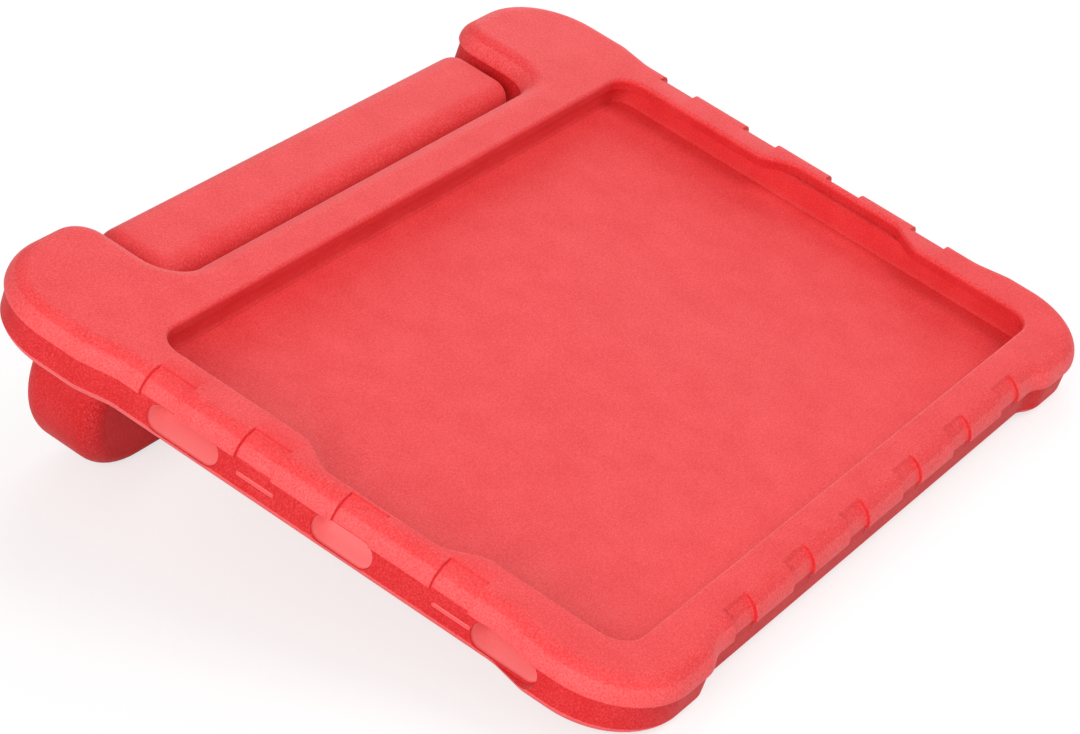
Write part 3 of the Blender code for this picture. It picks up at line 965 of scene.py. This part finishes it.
class Role(Enum):
    """What a lamp does for the picture."""

    KEY = "key"
    FILL = "fill"
    RIM = "rim"


@dataclass(frozen=True)
class SoftBox:
    """A square area lamp that looks at the object."""

    role: Role
    place: tuple[float, float, float]
    size: float
    power: float
    colour: Colour = (1.0, 1.0, 1.0)

    def build(self) -> None:
        """Makes the lamp."""
        data = bpy.data.lights.new(self.role.value, "AREA")
        data.shape = "SQUARE"
        data.size = self.size
        data.energy = self.power
        data.color = self.colour
        lamp = bpy.data.objects.new(self.role.value, data)
        lamp.location = self.place
        lamp.rotation_euler = (Vector((0.0, 0.0, 0.03)) - lamp.location).to_track_quat("-Z", "Y").to_euler()
        bpy.context.scene.collection.objects.link(lamp)
        log.info("lamp %s: %.1f W", self.role.value, self.power)


@dataclass(frozen=True)
class Studio:
    """Pale floor, soft light and the camera."""

    floor_size: float = 6.0
    camera_place: tuple[float, float, float] = (-0.7853, -0.4508, 0.4457)
    camera_turn: tuple[float, float, float] = (64.967, -2.493, -58.854)
    lens: float = 121.05
    world_level: float = 0.42
    floor_grey: Colour = (0.86, 0.86, 0.86)
    floor_seen: Colour = (0.34, 0.34, 0.34)
    floor_glow: float = 0.70
    lamps: tuple[SoftBox, ...] = (
        SoftBox(Role.KEY, (0.35, -0.80, 1.05), 0.8, 5.5),
        SoftBox(Role.FILL, (-1.10, -0.25, 0.48), 0.6, 8.5),
        SoftBox(Role.RIM, (1.10, 0.50, 0.70), 0.8, 7.0))

    def build_floor(self) -> None:
        """A flat sheet of points at height 0, seen as near white."""
        steps = np.linspace(-self.floor_size / 2, self.floor_size / 2, 9)
        x, y = np.meshgrid(steps, steps, indexing="ij")
        grid = np.stack([x, y, np.zeros_like(x)], axis=2).reshape(-1, 3)
        index = np.arange(81).reshape(9, 9)
        quads = np.stack([index[:-1, :-1], index[1:, :-1], index[1:, 1:], index[:-1, 1:]], axis=-1)
        mesh = bpy.data.meshes.new("floor")
        mesh.from_pydata(grid, [], quads.reshape(-1, 4).tolist())
        floor = bpy.data.objects.new("floor", mesh)
        bpy.context.scene.collection.objects.link(floor)
        material = bpy.data.materials.new("pale_floor")
        material.use_nodes = True
        g = Graph(material.node_tree)
        seen = g.node("ShaderNodeLightPath", {}, {}, "Is Camera Ray")
        shown = g.blend(seen, (*self.floor_grey, 1.0), (*self.floor_seen, 1.0))
        paper = g.node("ShaderNodeBsdfDiffuse", {}, {"Color": shown})
        glow = g.node("ShaderNodeEmission", {}, {
            "Color": (1.0, 1.0, 1.0, 1.0), "Strength": seen * self.floor_glow})
        both = g.node("ShaderNodeAddShader", {}, {0: paper, 1: glow})
        g.node("ShaderNodeOutputMaterial", {}, {"Surface": both})
        mesh.materials.append(material)

    def build_world(self) -> None:
        """Even light from all round, white where the camera looks past the floor."""
        world = bpy.data.worlds.new("studio")
        bpy.context.scene.world = world
        world.use_nodes = True
        g = Graph(world.node_tree)
        seen = g.node("ShaderNodeLightPath", {}, {}, "Is Camera Ray")
        strength = self.world_level + (1.0 - self.world_level) * seen
        back = g.node("ShaderNodeBackground", {}, {"Color": (1.0, 1.0, 1.0, 1.0), "Strength": strength})
        g.node("ShaderNodeOutputWorld", {}, {"Surface": back})

    def build_camera(self) -> None:
        """The camera at the photograph's place, with its long lens."""
        data = bpy.data.cameras.new("camera")
        data.lens = self.lens
        data.sensor_width = 36.0
        data.clip_start, data.clip_end = 0.01, 20.0
        camera = bpy.data.objects.new("camera", data)
        camera.location = self.camera_place
        camera.rotation_euler = tuple(math.radians(a) for a in self.camera_turn)
        bpy.context.scene.collection.objects.link(camera)
        bpy.context.scene.camera = camera

    def build(self) -> None:
        """Builds the floor, the world, the lamps and the camera."""
        self.build_camera()
        self.build_floor()
        self.build_world()
        for lamp in self.lamps:
            lamp.build()
        bpy.context.scene.view_settings.view_transform = "Standard"


def main() -> None:
    """Builds the studio and the case's pieces in order and reports each."""
    logging.basicConfig(level=logging.INFO, format="%(message)s")
    Studio().build()
    foam, plastic = FoamFinish().make(), PinFinish().make()
    body = CaseBody()
    pose = RestPose.from_record(frame["record"], -body.floor).matrix()
    pins = HingePins()
    for piece in (body.build(pose, pins, foam), StandHandle().build(pose, pins, foam)):
        log.info("%s: %d vertices, %d faces", piece.name, len(piece.data.vertices),
                 len(piece.data.polygons))
    pins.dress(plastic)
    log.info("hinge pins dressed")


if __name__ == "__main__":
    main()
